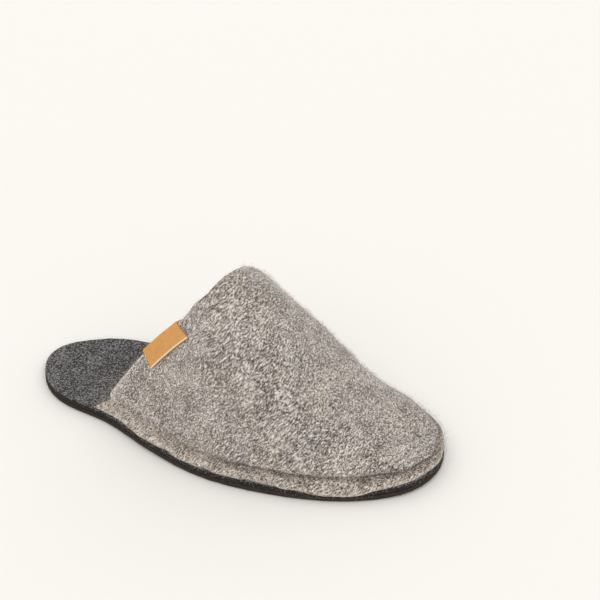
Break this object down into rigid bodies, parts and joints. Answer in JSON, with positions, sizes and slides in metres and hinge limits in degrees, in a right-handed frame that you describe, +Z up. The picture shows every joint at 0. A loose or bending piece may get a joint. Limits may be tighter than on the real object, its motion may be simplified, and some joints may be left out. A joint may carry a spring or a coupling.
{
  "type": "felt slipper",
  "caption": "Backless right-foot house slipper: hollow wool felt upper with a turned-out seam flange on a felt insole and thin outsole, with a bare leather label folded over the collar.",
  "frame": {"origin": "on the floor, under the middle of the bounding box", "axes": "+X towards the toe, +Y towards the inner side of the foot, +Z up; the slipper stands empty on its sole"},
  "size_m": [0.275, 0.1134, 0.1124],
  "materials": {
    "outsole": "dark matt sheet with a fuzzy upper edge",
    "insole": "charcoal wool felt",
    "upper": "mottled warm grey wool felt with a nap",
    "label": "smooth tan leather with cut edges"
  },
  "bodies": {
    "root": {"outsole": "outsole", "insole": "insole", "upper": "upper", "label": "label"}
  },
  "joints": []
}
